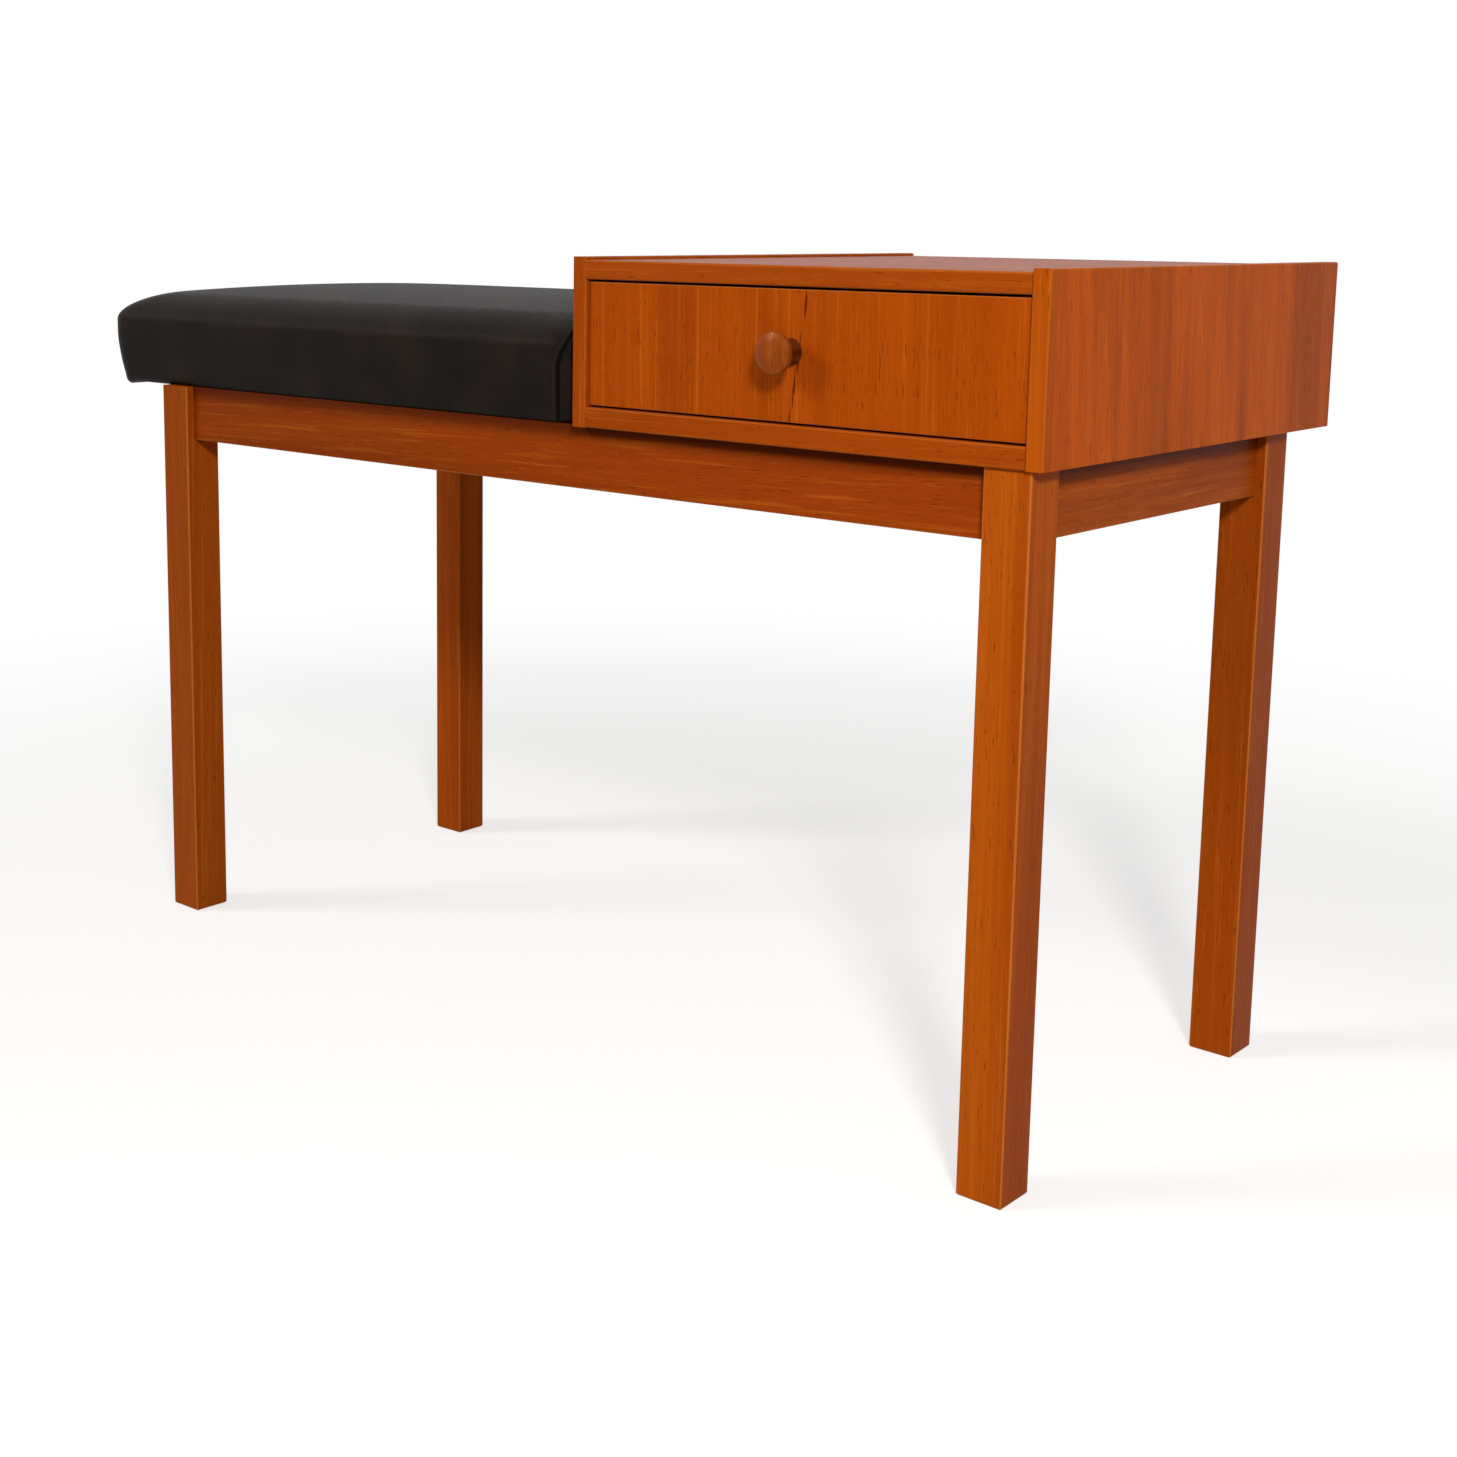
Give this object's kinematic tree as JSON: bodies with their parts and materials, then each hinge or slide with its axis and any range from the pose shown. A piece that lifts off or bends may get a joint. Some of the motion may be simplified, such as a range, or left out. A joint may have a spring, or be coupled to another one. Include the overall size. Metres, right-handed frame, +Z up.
{
  "type": "telephone bench",
  "caption": "Low wooden bench on square legs with a padded leather seat at one end and a small one-drawer cabinet at the other, for sitting at a telephone.",
  "frame": {"origin": "on the floor under the middle of the whole bench, measured over everything with the drawer shut", "axes": "+X along the bench from the seat to the cabinet, +Y from front to back, +Z up"},
  "size_m": [0.8444, 0.3856, 0.526],
  "materials": {
    "teak": "satin oiled teak, warm orange brown",
    "beech": "plain pale wood, unfinished",
    "plywood": "thin plywood, raw",
    "foam": "soft open foam",
    "leather": "smooth black leather with a soft sheen",
    "steel": "plain bright steel"
  },
  "bodies": {
    "bench": {"leg_front_left": "teak", "leg_front_right": "teak", "leg_back_left": "teak", "leg_back_right": "teak", "apron_front": "teak", "apron_back": "teak", "apron_left": "teak", "apron_right": "teak", "cross_rail": "beech", "frame_dowels": "beech", "corner_block_front_left": "beech", "corner_block_front_right": "beech", "corner_block_back_left": "beech", "corner_block_back_right": "beech", "seat_board": "plywood", "seat_foam": "foam", "seat_cover": "leather", "cover_staples": "steel", "seat_screws": "steel", "cabinet_side_left": "teak", "cabinet_side_right": "teak", "side_lipping_left": "teak", "side_lipping_right": "teak", "cabinet_top": "teak", "top_rail": "teak", "cabinet_bottom": "teak", "bottom_rail": "teak", "cabinet_back": "plywood", "back_panel_pins": "steel", "cabinet_dowels": "beech", "cabinet_screws": "steel", "drawer_runner_left": "beech", "drawer_runner_right": "beech", "runner_screws": "steel"},
    "drawer": {"drawer_front": "teak", "drawer_side_left": "beech", "drawer_side_right": "beech", "drawer_back": "beech", "drawer_bottom": "plywood", "drawer_bottom_pins": "steel", "drawer_knob": "teak", "knob_screw": "steel"}
  },
  "joints": [
    {"name": "drawer_slide", "type": "slide", "parent": "bench", "child": "drawer", "axis": [0, -1, 0], "range_m": [0, 0.25]}
  ]
}
